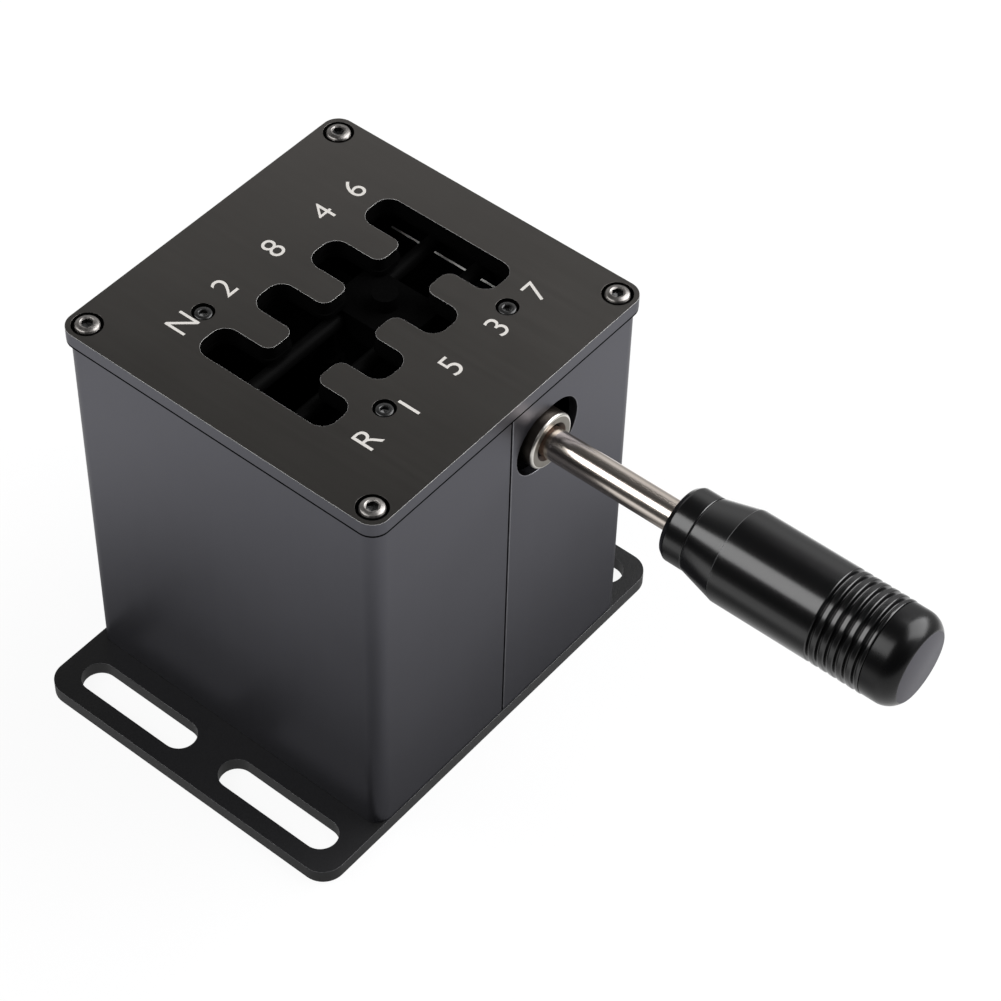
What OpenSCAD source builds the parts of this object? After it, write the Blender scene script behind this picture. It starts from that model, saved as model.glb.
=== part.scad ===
// Side-lever gear shifter for sim racing: a square metal box with a slotted gate on top,
// a lever that leaves one side wall, and a slotted base plate.
// Origin: centre of the box on the underside of the base plate. +X runs out along the lever, +Z up.

/* [Box] */
// Width of the gate plate along the lever
lid_w = 120; // [118:1:130]
// Depth of the gate plate across the lever
lid_d = 120.8; // [119:0.4:130]
// Thickness of the gate plate
lid_t = 4.6; // [3.5:0.1:6]
// Corner radius of the gate plate
lid_r = 5.6; // [2:0.2:7]
// How far the gate plate stands out past the walls
lid_lip = 1.1; // [0.6:0.1:1.6]
// Wall thickness
wall_t = 3.2; // [2.6:0.1:3.6]
// Outer corner radius of the walls
wall_r = 5.4; // [2:0.2:6]
// Width of the joint between the two half shells
seam_gap = 0.8; // [0.4:0.1:1.2]
// Distance of each screw port from the wall's outer face
port_in = 5.1; // [4.8:0.1:6]
// Radius of the round screw ports in the corners
port_r = 4.8; // [4.4:0.1:5.4]

/* [Base plate] */
// Thickness of the base plate
base_t = 5; // [4.4:0.2:6]
// Flange beyond the near wall
flange_near = 24.8; // [22:0.2:28]
// Flange beyond the far wall
flange_far = 18.2; // [17.4:0.2:24]
// Corner radius of the base plate
base_r = 7.5; // [4:0.5:10]
// How far the base plate stands out past the side walls
base_lip = 0.3; // [0.1:0.1:1]
// Length of each mounting slot, end to end
slot_l = 46; // [36:0.2:48]
// Width of each mounting slot
slot_w = 11.4; // [8:0.2:12]
// Centre distance of the two slots in the near flange
slot_pitch = 58.6; // [56:0.2:62]
// Centre distance of the two slots in the far flange
slot_pitch_far = 61.6; // [56:0.2:64]

/* [Gate] */
// Centre distance of neighbouring gear slots
gate_pitch = 23.8; // [22.6:0.1:24]
// Width of each gear slot
gate_w = 13.2; // [12:0.1:14]
// Length of the gear slots, end to end
gate_l = 49.8; // [46:0.2:52]
// Width of the neutral channel
neutral_w = 17.3; // [14:0.1:18]
// Place of the gate's centre along the lever
gate_x = 0.8; // [0:0.1:1.5]
// Place of the gate's centre across the lever
gate_y = 0.6; // [0:0.1:1]
// Radius at the ends of the gear slots
gate_end_r = 5; // [3:0.1:6]
// Radius at the finger tips
gate_tip_r = 3.4; // [1.5:0.1:4.5]
// Thickness of the liner plate under the gate
liner_t = 1.5; // [1:0.1:2]
// How far the liner's opening stands inside the gate's
liner_in = 0.4; // [0.2:0.1:0.7]

/* [Lever] */
// Height of the lever's axis above the base plate
lever_h = 114.5; // [95:0.5:140]
// Place of the lever's axis across the box
lever_y = 14.6; // [14:0.1:15]
// Radius of the lever's shaft
shaft_r = 4.9; // [4:0.1:5]
// Length of shaft between the wall and the knob
shaft_out = 50; // [42:1:60]
// How far the swivel's pivot lies inside the wall's outer face
pivot_in = 10; // [9.8:0.1:11]
// Radius of the flanged bush
bush_r = 9.2; // [8.4:0.1:9.4]
// How far the bush stands out of the wall
bush_out = 3.2; // [2:0.1:4]
// Radius of the window's ends
window_r = 11.4; // [11:0.1:12]
// Straight part of the window
window_l = 5.1; // [4.4:0.1:7]
// How far the window's centre lies below the lever's axis
window_drop = 1.5; // [0.8:0.1:1.8]

/* [Knob] */
// Largest radius of the knob
knob_r = 14.8; // [13:0.1:16]
// Length of the knob, face to face
knob_l = 81; // [74:0.5:86]
// Radius of the knob's collar
collar_r = 11.8; // [10.5:0.1:12.6]
// Length of the knob's collar
collar_l = 8.2; // [6:0.1:10]
// Length of the knob's cone
cone_l = 11.6; // [8:0.2:14]
// Length of the end cap
cap_l = 10.5; // [9:0.5:14]
// Radius of the rounding at the end cap
cap_round = 5; // [3:0.2:6.5]
// Number of grip grooves
grooves = 6; // [4:1:7]
// Distance from groove to groove
groove_pitch = 3; // [2.6:0.1:3.2]
// Depth of a groove
groove_deep = 1; // [0.5:0.1:1.2]

/* [Mechanism] */
// Travel of the lever along its axis, each way from neutral
shift_travel = 12; // [8:1:12]
// Swing of the lever from the first column to the last
swing_total = 27; // [24:1:27]
// Radius of the two guide rods
rod_r = 4; // [3:0.5:4.5]
// Distance of each guide rod from the side wall's inner face
rod_in = 8.9; // [8.7:0.1:9.5]
// Height of the sliding block that carries the selector finger
block_h = 12.6; // [12.4:0.1:13.6]
// Radius of the selector finger
finger_r = 4; // [3:0.1:4.4]
// Radial clearance of each sliding or turning fit
run = 0.08; // [0.05:0.01:0.1]
// Clearance beside the pins that are free to wander in their slots
wander = 1.3; // [1.2:0.1:1.5]
// Clearance between parts that pass each other
pass_gap = 0.5; // [0.4:0.1:0.8]
// Radius of the pins that drive the carriage and the rocker
pin_r = 2.5; // [2:0.1:2.8]

/* [Fasteners] */
// Thread radius of the gate plate's corner screws
screw_r = 2; // [1.5:0.1:2]
// Head radius of the corner screws
screw_head_r = 3.9; // [3.4:0.1:4]
// Radial gap round the corner screw's head
screw_gap = 0.9; // [0.5:0.1:1]
// Depth of the corner screw's recess
screw_deep = 2.4; // [1.8:0.1:3]
// Head radius of the liner's screws
cap_head_r = 2.75; // [2.4:0.05:3]
// Thread radius of the liner's screws
cap_screw_r = 1.5; // [1.2:0.1:1.6]
// Depth of the liner screw's recess
cap_deep = 3; // [2.4:0.1:3.2]
// Clearance of each thread in its hole
thread_gap = 0.1; // [0.05:0.05:0.2]

/* [Hidden] */
$fn = 48;

// Box
body_w = lid_w - 2 * lid_lip;
body_d = lid_d - 2 * lid_lip;
in_x = body_w / 2 - wall_t;
in_y = body_d / 2 - wall_t;
shaft_gap = 0.3;
stack_h = liner_t + pass_gap + 0.4 + block_h + shaft_gap;
wall_h = lever_h + shaft_r + stack_h;
lid_z = base_t + wall_h;
top_z = lid_z + lid_t;
liner_z = lid_z - liner_t;
port_x = body_w / 2 - port_in;
port_y = body_d / 2 - port_in;
base_x = body_w / 2 + base_lip;
base_near = -body_d / 2 - flange_near;
base_far = body_d / 2 + flange_far;
slot_near_y = -body_d / 2 - flange_near / 2 - 0.4;
slot_far_y = body_d / 2 + flange_far / 2 - 1.5;

rod_y = in_y - rod_in;
post_in_x = 15.7;
post_in_y = 20.1;
strap_t = 1.6;
socket_y = post_in_y - in_y + 11;
board_y = socket_y - 5.5;

// Gate
columns = [for (i = [0:3]) gate_y + gate_pitch * (i - 1.5)];
slot_x0 = gate_x - gate_l / 2 - 0.4;
slot_x1 = gate_x + gate_l / 2 - 0.4;
neutral_x0 = gate_x - neutral_w / 2 + 0.8;
neutral_x1 = gate_x + neutral_w / 2 + 0.8;
liner_rim = 14;
liner_spots = [
    [slot_x0 - 7.7, columns[0] + 6.1],
    [slot_x1 + 7.6, columns[3] - 7],
    [slot_x1 + 6.9, columns[0] + 11]
];

// Lever and swivel
axis_z = base_t + lever_h;
face_x = body_w / 2;
pivot_x = face_x - pivot_in;
pivot_y = lever_y;
window_y = lever_y - 0.4;
window_z = axis_z - window_drop;
bush_x1 = face_x + bush_out;
bush_x0 = face_x - wall_t + 0.5;
nose_r = bush_r - 1.8;
nose_x = bush_x1 - 1.5;
hub_r = min(6.5, pivot_in - wall_t - 0.3);
hub_h = nose_r + 3.1;
trunnion_r = 4;
knob_x = face_x + shaft_out;
knob_end_x = knob_x + knob_l;
cap_x = knob_end_x - cap_l;
groove_x = cap_x - (grooves - 0.5) * groove_pitch - 1;

// Mechanism: the selector rests in the third column and the lever points straight out
rest_y = columns[2];
column_span = columns[3] - columns[0];
rest_share = (columns[3] - rest_y) / column_span;
rocker_ratio = 3;
rocker_swing = swing_total * rocker_ratio;
rocker_l = column_span / (2 * sin(rocker_swing / 2)) * 0.9923;
rocker_rest = -(0.5 - rest_share) * rocker_swing + 4.63;
rocker_in = 30.35;
rocker_off = 4.07;
rocker_x = gate_x + rocker_in;
rocker_y = gate_y + rocker_off;
post_x = rocker_x - rocker_l * cos(rocker_rest);
post_y = rocker_y - rocker_l * sin(rocker_rest);
pin_x = rocker_x - 10.61;
pin_y = rocker_y + 2.37;
arm_l = norm([pivot_x - pin_x, pivot_y - pin_y]);
arm_a = atan2(pivot_y - pin_y, pivot_x - pin_x);
pin_dist = norm([rocker_x - pin_x, rocker_y - pin_y]);
post_front = rocker_x - rocker_l * cos(rocker_rest + (1 - rest_share) * rocker_swing);
drive_l = 27;
drive_x = pivot_x - drive_l;

// Levels, from the liner down
block_top = liner_z - pass_gap - 0.4;
cross_r = 2.5;
groove_bot = block_top - block_h;
groove_top = groove_bot + 3.6;
block_z = groove_top;
cross_z = block_z + 2.4 + cross_r;
shaft_bot = axis_z - shaft_r;
drive_top = axis_z - nose_r - 1.1;
drive_t = 4.5;
drive_bot = drive_top - drive_t;
arm_top = drive_bot - 2 * pass_gap - 0.4;
arm_t = 3.5;
arm_bot = arm_top - arm_t;
rocker_top = arm_bot - 2.6;
rocker_t = 4;
rocker_bot = rocker_top - rocker_t;
shelf_top = rocker_bot - 2;
shelf_t = 4;
shelf_bot = shelf_top - shelf_t;
rod_z = drive_top - 1;
boss_r = rod_r + 3.2;
rod_end_x = port_x - port_r - 0.4;
rod_block_t = 6;
side_t = 4.6;
side_y = rod_y + 3.4;
side_x0 = gate_x - 17;
sensor_x = post_in_x - in_x + 4.3;
side_x1 = gate_x + 24;
cross_x_front = gate_x + 9;
cross_x_rear = gate_x - 9;

// A box given by its two far corners
module span(a, b) {
    translate(a) cube(b - a);
}

// Flat rounded rectangle between two corners
module round_rect(x0, y0, x1, y1, r) {
    translate([x0 + r, y0]) square([x1 - x0 - 2 * r, y1 - y0]);
    translate([x0, y0 + r]) square([x1 - x0, y1 - y0 - 2 * r]);
    for (x = [x0 + r, x1 - r], y = [y0 + r, y1 - r]) translate([x, y]) circle(r);
}

// Flat slot with round ends along X
module slot_2d(l, w) {
    square([l - w, w], center = true);
    for (s = [-1, 1]) translate([s * (l - w) / 2, 0]) circle(w / 2);
}

// Corner piece that rounds an outside corner of the plate; it opens toward -x, -y
module tip_cut(r) {
    difference() {
        translate([-r, -r]) square(r);
        translate([-r, -r]) circle(r);
    }
}

// The gate's opening, shrunk by g on every side
module gate_opening(g) {
    x0 = slot_x0 + g;
    x1 = slot_x1 - g;
    n0 = neutral_x0 + g;
    n1 = neutral_x1 - g;
    half = gate_w / 2 - g;
    for (y = columns) round_rect(x0, y - half, x1, y + half, gate_end_r - g);
    translate([n0, columns[0]]) square([n1 - n0, column_span]);
    for (i = [0:2]) {
        lo = columns[i] + half;
        hi = columns[i + 1] - half;
        translate([n0, hi]) tip_cut(gate_tip_r);
        translate([n0, lo]) mirror([0, 1]) tip_cut(gate_tip_r);
        translate([n1, hi]) mirror([1, 0]) tip_cut(gate_tip_r);
        translate([n1, lo]) mirror([1, 0]) mirror([0, 1]) tip_cut(gate_tip_r);
    }
}

// A rod along X between two stations
module bar_x(x0, x1, y, z, r) {
    translate([x0, y, z]) rotate([0, 90, 0]) cylinder(r = r, h = x1 - x0);
}

// A rod along Y between two stations
module bar_y(x, y0, y1, z, r) {
    translate([x, y0, z]) rotate([-90, 0, 0]) cylinder(r = r, h = y1 - y0);
}

// A rod along Z between two stations
module bar_z(x, y, z0, z1, r) {
    translate([x, y, z0]) cylinder(r = r, h = z1 - z0);
}

// Outline of the extruded walls with their screw ports
module wall_profile() {
    difference() {
        union() {
            difference() {
                round_rect(-body_w / 2, -body_d / 2, body_w / 2, body_d / 2, wall_r);
                translate([-in_x, -in_y]) square([2 * in_x, 2 * in_y]);
            }
            for (sx = [-1, 1], sy = [-1, 1]) translate([sx * port_x, sy * port_y]) circle(port_r);
        }
        for (sx = [-1, 1], sy = [-1, 1])
            translate([sx * port_x, sy * port_y]) circle(screw_r + thread_gap);
    }
}

// One of the two half shells
module half_shell(side) {
    translate([0, 0, base_t]) linear_extrude(wall_h) intersection() {
        wall_profile();
        translate([-body_w, side > 0 ? seam_gap / 2 : -body_d - seam_gap / 2])
            square([2 * body_w, body_d]);
    }
}

// Button head screw with a hexagon recess, head up, seat at z = 0
module button_screw(r, head_r, head_h, len) {
    difference() {
        union() {
            translate([0, 0, -len]) cylinder(r = r, h = len + 0.2);
            rotate_extrude() intersection() {
                translate([0, 0]) square([head_r, head_h]);
                translate([0, head_h - (head_r * head_r + head_h * head_h) / (2 * head_h)])
                    circle((head_r * head_r + head_h * head_h) / (2 * head_h) + 0.35);
            }
        }
        translate([0, 0, head_h - 1.4]) cylinder(r = head_r * 0.42, h = 3, $fn = 6);
    }
}

// Cap screw with a straight head and a hexagon recess, head up, seat at z = 0
module cap_screw(r, head_r, head_h, len) {
    difference() {
        union() {
            translate([0, 0, -len]) cylinder(r = r, h = len + 0.2);
            cylinder(r = head_r, h = head_h);
        }
        translate([0, 0, head_h - 1.5]) cylinder(r = head_r * 0.5, h = 3, $fn = 6);
    }
}

function corner(sx, sy) = [sx * port_x, sy * port_y];
post_spots = [for (sx = [-1, 1], sy = [-1, 1]) [sx * (in_x - post_in_x), sy * (in_y - post_in_y)]];

module base_plate() {
    color([0.09, 0.09, 0.1]) difference() {
        linear_extrude(base_t) difference() {
            round_rect(-base_x, base_near, base_x, base_far, base_r);
            for (s = [-1, 1]) {
                translate([s * slot_pitch / 2, slot_near_y]) slot_2d(slot_l, slot_w);
                translate([s * slot_pitch_far / 2, slot_far_y]) slot_2d(slot_l, slot_w);
            }
        }
        for (sx = [-1, 1], sy = [-1, 1]) translate(corner(sx, sy)) {
            translate([0, 0, -1]) cylinder(r = screw_r + thread_gap, h = base_t + 2);
            translate([0, 0, -1]) cylinder(r = screw_head_r + 0.3, h = 1 + screw_deep);
        }
    }
}

module shell_near() {
    color([0.24, 0.24, 0.26]) difference() {
        half_shell(-1);
        span([-body_w / 2 - 1, socket_y - 6.2, base_t + 11.8], [-in_x + 1, socket_y + 6.2, base_t + 23.2]);
    }
}

module shell_far() {
    color([0.24, 0.24, 0.26]) difference() {
        half_shell(1);
        translate([in_x - 1, window_y, window_z]) rotate([90, 0, 90]) linear_extrude(wall_t + 2) {
            translate([0, -window_r]) square([window_l, 2 * window_r]);
            circle(window_r);
            translate([window_l, 0]) circle(window_r);
        }
    }
}

module seam_strap_front() {
    color([0.1, 0.1, 0.11]) span([in_x - strap_t, -8, base_t], [in_x, 2.4, liner_z]);
}

module seam_strap_rear() {
    color([0.1, 0.1, 0.11]) span([-in_x, -8, base_t], [-in_x + strap_t, 8, liner_z]);
}

module gate_plate() {
    color([0.22, 0.21, 0.2]) difference() {
        translate([0, 0, lid_z]) linear_extrude(lid_t) difference() {
            round_rect(-lid_w / 2, -lid_d / 2, lid_w / 2, lid_d / 2, lid_r);
            gate_opening(0);
            for (sx = [-1, 1], sy = [-1, 1]) translate(corner(sx, sy)) circle(screw_r + thread_gap);
            for (p = liner_spots) translate(p) circle(cap_screw_r + thread_gap);
        }
        for (sx = [-1, 1], sy = [-1, 1])
            translate(concat(corner(sx, sy), top_z - screw_deep))
                cylinder(r = screw_head_r + screw_gap, h = screw_deep + 1);
        for (p = liner_spots)
            translate([p[0], p[1], top_z - cap_deep]) cylinder(r = cap_head_r + 0.75, h = cap_deep + 1);
    }
}

module gate_liner() {
    color([0.08, 0.08, 0.08]) translate([0, 0, liner_z]) linear_extrude(liner_t) difference() {
        round_rect(slot_x0 - liner_rim, columns[0] - gate_w / 2 - liner_rim / 2,
                   slot_x1 + liner_rim, columns[3] + gate_w / 2 + liner_rim / 2, 5);
        gate_opening(liner_in);
        for (p = liner_spots) translate(p) circle(cap_screw_r + thread_gap);
    }
}

module corner_screw(sx, sy) {
    color([0.75, 0.75, 0.77]) translate(concat(corner(sx, sy), top_z - screw_deep))
        button_screw(screw_r, screw_head_r, 2.2, 14);
}

module liner_screw(i) {
    color([0.05, 0.05, 0.05]) translate([liner_spots[i][0], liner_spots[i][1], top_z - cap_deep])
        cap_screw(cap_screw_r, cap_head_r, 2.6, lid_t - cap_deep + liner_t);
}

module corner_screw_left() { corner_screw(-1, -1); }
module corner_screw_back() { corner_screw(-1, 1); }
module corner_screw_right() { corner_screw(1, 1); }
module corner_screw_front() { corner_screw(1, -1); }
module liner_screw_left() { liner_screw(0); }
module liner_screw_right() { liner_screw(1); }
module liner_screw_front() { liner_screw(2); }

module base_screws() {
    color([0.6, 0.6, 0.62])
        for (sx = [-1, 1], sy = [-1, 1])
            translate(concat(corner(sx, sy), screw_deep)) mirror([0, 0, 1])
                button_screw(screw_r, screw_head_r, 2.1, 14);
}

// Flat plate that carries the mechanism
module shelf() {
    color([0.3, 0.31, 0.33]) translate([0, 0, shelf_bot]) difference() {
        linear_extrude(shelf_t) difference() {
            round_rect(-in_x + 4, -in_y + 4, in_x - 0.6, in_y - 4, 3);
            for (s = [-1, 1]) translate([in_x, s * in_y]) square(22, center = true);
            translate([in_x, (2.4 - 8) / 2]) square([6, 12], center = true);
            translate([pivot_x, pivot_y]) circle(trunnion_r + run);
            translate([rocker_x, rocker_y]) circle(3);
            translate([-24, -2]) circle(15);
            for (p = post_spots) translate(p) circle(1.6);
        }
    }
}

module shelf_posts() {
    color([0.7, 0.7, 0.72]) for (p = post_spots) {
        translate([p[0], p[1], base_t]) cylinder(r = 4, h = shelf_bot - base_t, $fn = 6);
        bar_z(p[0], p[1], shelf_bot - 2, shelf_top + 0.5, 1.5);
        bar_z(p[0], p[1], shelf_top, shelf_top + 1.6, 2.9);
    }
}

module guide_rod(side) {
    color([0.8, 0.8, 0.82]) bar_x(-rod_end_x, rod_end_x, side * rod_y, rod_z, rod_r);
}

module guide_rod_near() { guide_rod(-1); }
module guide_rod_far() { guide_rod(1); }

// Blocks that hold a guide rod's two ends; they stand against the side wall
module rod_blocks(side) {
    y0 = side > 0 ? rod_y - boss_r : -in_y;
    color([0.15, 0.15, 0.16]) difference() {
        for (x = [-rod_end_x, rod_end_x - rod_block_t])
            span([x, y0, rod_z - 8], [x + rod_block_t, y0 + in_y - rod_y + boss_r, rod_z + 8]);
        bar_x(-rod_end_x - 1, rod_end_x + 1, side * rod_y, rod_z, rod_r + 0.02);
    }
}

module rod_blocks_near() { rod_blocks(-1); }
module rod_blocks_far() { rod_blocks(1); }

// Wall bracket with the swivel's upper bearing
module upper_bearing() {
    z0 = axis_z + hub_h + pass_gap;
    color([0.15, 0.15, 0.16]) difference() {
        union() {
            span([pivot_x, pivot_y - 8, z0], [in_x, pivot_y + 8, z0 + 4]);
            bar_z(pivot_x, pivot_y, z0, z0 + 4, in_x - pivot_x - 0.1);
        }
        bar_z(pivot_x, pivot_y, z0 - 1, z0 + 5, trunnion_r + run);
    }
}

module rocker_stud() {
    color([0.75, 0.75, 0.77]) {
        bar_z(rocker_x, rocker_y, shelf_bot, rocker_top + 0.3, 3);
        bar_z(rocker_x, rocker_y, shelf_top, rocker_bot - 0.3, 5);
        bar_z(rocker_x, rocker_y, rocker_top + 0.3, rocker_top + 1.7, 4.4);
    }
}

// Board with its chips, standing on four pads on the base plate
module circuit_board() {
    z = base_t + 7;
    color([0.05, 0.2, 0.12]) {
        difference() {
            span([-in_x + 6, board_y, z], [-in_x + 58, board_y + 44, z + 1.6]);
            for (x = [-in_x + 10, -in_x + 54], y = [board_y + 16, board_y + 40]) bar_z(x, y, z - 1, z + 3, 1.5);
        }
        span([-in_x + 32, board_y + 6, z + 1.6], [-in_x + 42, board_y + 16, z + 3.2]);
        span([-in_x + 22, board_y + 24, z + 1.6], [-in_x + 44, board_y + 30, z + 8]);
        for (x = [-in_x + 10, -in_x + 54], y = [board_y + 16, board_y + 40]) difference() {
            bar_z(x, y, base_t, z, 3);
            bar_z(x, y, base_t - 1, z + 1, 1.5);
        }
    }
}

// Square data socket in the rear wall, with its open mouth
module usb_socket() {
    color([0.7, 0.7, 0.72]) difference() {
        span([-body_w / 2 + 0.6, socket_y - 6, base_t + 12], [-in_x + 16, socket_y + 6, base_t + 23]);
        span([-body_w / 2 - 1, socket_y - 4.8, base_t + 13.2], [-in_x + 8, socket_y + 4.8, base_t + 21.8]);
    }
    color([0.7, 0.7, 0.72]) span([-in_x + 7, socket_y - 3, base_t + 8.6], [-in_x + 15, socket_y + 3, base_t + 12]);
    color([0.9, 0.9, 0.9]) span([-body_w / 2 + 2, socket_y - 2.6, base_t + 15.6], [-in_x + 8.4, socket_y + 2.6, base_t + 19]);
}

// Switch block on the shelf beside a guide rod
module sensor(side) {
    color([0.12, 0.12, 0.13]) {
        y = side * (rod_y - 7.2);
        span([sensor_x, y - 4, shelf_top], [sensor_x + 12.5, y + 4, shelf_top + 7]);
        span([sensor_x + 4.5, y - 1.5, shelf_top + 6.8], [sensor_x + 7.5, y + 1.5, shelf_top + 8.2]);
    }
}

module sensor_near() { sensor(-1); }
module sensor_far() { sensor(1); }

// Turning block that carries the lever, with its long lower spindle
module swivel() {
    color([0.55, 0.55, 0.57]) difference() {
        union() {
            bar_x(pivot_x - 9, nose_x, pivot_y, axis_z, nose_r);
            bar_z(pivot_x, pivot_y, axis_z - hub_h, axis_z + hub_h, hub_r);
            bar_z(pivot_x, pivot_y, axis_z + hub_h - 1, axis_z + hub_h + 5.2, trunnion_r);
            bar_z(pivot_x, pivot_y, shelf_bot, axis_z - hub_h + 1, trunnion_r);
            bar_z(pivot_x, pivot_y, shelf_top + 0.3, shelf_top + 3, 6);
        }
        bar_x(pivot_x - 10, nose_x + 1, pivot_y, axis_z, shaft_r + run);
    }
}

module flanged_bush() {
    color([0.72, 0.7, 0.66]) translate([0, pivot_y, axis_z]) rotate([0, 90, 0]) rotate_extrude()
        polygon([
            [nose_r, bush_x0], [bush_r, bush_x0], [bush_r, bush_x1 - 0.7], [bush_r - 0.7, bush_x1],
            [shaft_r + 1.5, bush_x1], [shaft_r + 0.5, bush_x1 - 1], [shaft_r + 0.5, nose_x], [nose_r, nose_x]
        ]);
}

// Arm clamped on the spindle; its pin works in the rocker's slot
module swivel_arm() {
    color([0.62, 0.62, 0.64]) difference() {
        union() {
            bar_z(pivot_x, pivot_y, arm_bot, arm_top, trunnion_r + 2.6);
            bar_z(pin_x, pin_y, arm_bot, arm_top, pin_r + 2);
            translate([pivot_x, pivot_y, arm_bot]) rotate([0, 0, arm_a + 180])
                translate([5, -3.4, 0]) cube([arm_l - 5, 6.8, arm_t]);
            bar_z(pin_x, pin_y, rocker_bot + 0.3, arm_bot + 1, pin_r);
        }
        bar_z(pivot_x, pivot_y, arm_bot - 1, arm_top + 1, trunnion_r);
    }
}

module shaft() {
    color([0.82, 0.8, 0.78]) difference() {
        union() {
            bar_x(drive_x - 7, knob_x + 4, lever_y, axis_z, shaft_r);
            bar_x(knob_x + 3, knob_x + 30, lever_y, axis_z, shaft_r - 0.9);
        }
        bar_z(drive_x, lever_y, shaft_bot - 1, axis_z + shaft_r + 1, pin_r);
    }
}

// Cross pin through the shaft's inner end
module drive_pin() {
    color([0.5, 0.5, 0.52]) bar_z(drive_x, lever_y, drive_bot + 0.2, axis_z + shaft_r - 0.4, pin_r);
}

// Revolved solid on the lever's axis; the points are radius and distance from the knob's inner face
module turned(points) {
    translate([knob_x, lever_y, axis_z]) rotate([0, 90, 0]) rotate_extrude($fn = 96) polygon(points);
}

module knob_collar() {
    round = [for (a = [0:15:90]) [collar_r - 2.6 + 2.6 * sin(a), 2.6 - 2.6 * cos(a)]];
    color([0.04, 0.04, 0.045]) turned(concat([[shaft_r, 0]], round,
        [[collar_r, collar_l - 0.35], [collar_r - 0.35, collar_l], [shaft_r, collar_l]]));
}

module knob_grip() {
    g = groove_x - knob_x;
    w = groove_pitch * 0.22;
    end = cap_x - knob_x;
    bite = [for (i = [0:grooves - 1]) for (q = [[-1, 0], [-0.6, 0.75], [0, 1], [0.6, 0.75], [1, 0]])
        [knob_r - groove_deep * q[1], g + i * groove_pitch + w * (q[0] + 1)]];
    color([0.03, 0.03, 0.035]) turned(concat(
        [[shaft_r - 0.9, collar_l], [collar_r - 0.35, collar_l], [collar_r + 0.1, collar_l + 0.45],
         [knob_r - 0.3, collar_l + cone_l - 0.6], [knob_r, collar_l + cone_l]],
        bite,
        [[knob_r, end - 0.5], [knob_r - 0.4, end], [6, end], [6, end - 4], [shaft_r - 0.9, end - 4]]));
}

module knob_cap() {
    s = cap_x - knob_x;
    round = [for (a = [0:9:90]) [knob_r - 0.2 - cap_round + cap_round * cos(a), knob_l - cap_round + cap_round * sin(a)]];
    face_r = knob_r - 3.4;
    color([0.05, 0.05, 0.055]) turned(concat(
        [[0, s - 4], [5.9, s - 4], [5.9, s], [knob_r - 0.6, s], [knob_r - 0.2, s + 0.5]],
        [for (p = round) if (p[0] > face_r) p],
        [[face_r, knob_l], [face_r - 0.3, knob_l - 0.3], [0, knob_l - 0.3]]));
}

// Long lever that multiplies the arm's movement; its slot takes the arm's pin
module rocker() {
    slot0 = pin_dist - 2.1 - pin_r - wander;
    slot1 = pin_dist + 3 + pin_r + wander;
    color([0.66, 0.66, 0.68]) translate([rocker_x, rocker_y, rocker_bot]) rotate([0, 0, rocker_rest + 180])
        difference() {
            linear_extrude(rocker_t) difference() {
                union() {
                    circle(6);
                    translate([0, -6.4]) square([slot1 + 2, 12.8]);
                    translate([slot1 + 2, -3.4]) square([rocker_l - slot1 - 2, 6.8]);
                    translate([slot1 + 2, 0]) circle(6.4);
                    translate([rocker_l, 0]) circle(5);
                }
                circle(3 + run);
                translate([slot0 + pin_r + wander, 0])
                    translate([0, -pin_r - wander]) square([slot1 - slot0 - 2 * (pin_r + wander), 2 * (pin_r + wander)]);
                for (d = [slot0, slot1 - 2 * (pin_r + wander)])
                    translate([d + pin_r + wander, 0]) circle(pin_r + wander);
                for (d = [slot1 + 14, slot1 + 23]) translate([d, 0]) circle(2);
                translate([rocker_l, 0]) circle(2.5);
            }
        }
}

module rocker_post() {
    color([0.78, 0.78, 0.8]) {
        bar_z(post_x, post_y, rocker_bot, groove_top - 0.6, 2.5);
        bar_z(post_x, post_y, rocker_top, rocker_top + 1.5, 4);
        bar_z(post_x, post_y, groove_bot + 0.2, groove_top - 0.6, 3);
    }
}

// End piece of the carriage: bearing boss on a guide rod and upright cheek
module carriage_end(side) {
    color([0.3, 0.31, 0.33]) difference() {
        union() {
            bar_x(side_x0, side_x1, side * rod_y, rod_z, boss_r);
            span([side_x0, side * side_y - side_t / 2, rod_z], [side_x1, side * side_y + side_t / 2, block_top]);
        }
        bar_x(side_x0 - 1, side_x1 + 1, side * rod_y, rod_z, rod_r + run);
        for (x = [cross_x_front, cross_x_rear])
            bar_y(x, side * side_y - side_t, side * side_y + side_t, cross_z, cross_r);
        span([drive_x - 8, side * rod_y - boss_r - 1, drive_bot],
             [drive_x + 8, side * (rod_y - rod_r - 1.2) + (side > 0 ? 0 : boss_r), drive_top]);
    }
}

module carriage_near() { carriage_end(-1); }
module carriage_far() { carriage_end(1); }

// Flat bar between the two end pieces with the slot for the lever's pin
module drive_bar() {
    half = rod_y - rod_r - 1.2;
    reach = drive_l + shift_travel;
    out0 = reach * sin((1 - rest_share) * swing_total) + pin_r + 1;
    out1 = reach * sin(rest_share * swing_total) + pin_r + 1;
    w = pin_r + wander + 0.3;
    shift = 1.1;
    color([0.5, 0.5, 0.52]) difference() {
        span([drive_x - 8, -half, drive_bot], [drive_x + 8, half, drive_top]);
        span([drive_x - w + shift, lever_y - out0, drive_bot - 1], [drive_x + w + shift, lever_y + out1, drive_top + 1]);
    }
}

module cross_rod(x) {
    color([0.8, 0.8, 0.82]) bar_y(x, -side_y - side_t / 2, side_y + side_t / 2, cross_z, cross_r);
}

module cross_rod_front() { cross_rod(cross_x_front); }
module cross_rod_rear() { cross_rod(cross_x_rear); }

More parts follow.
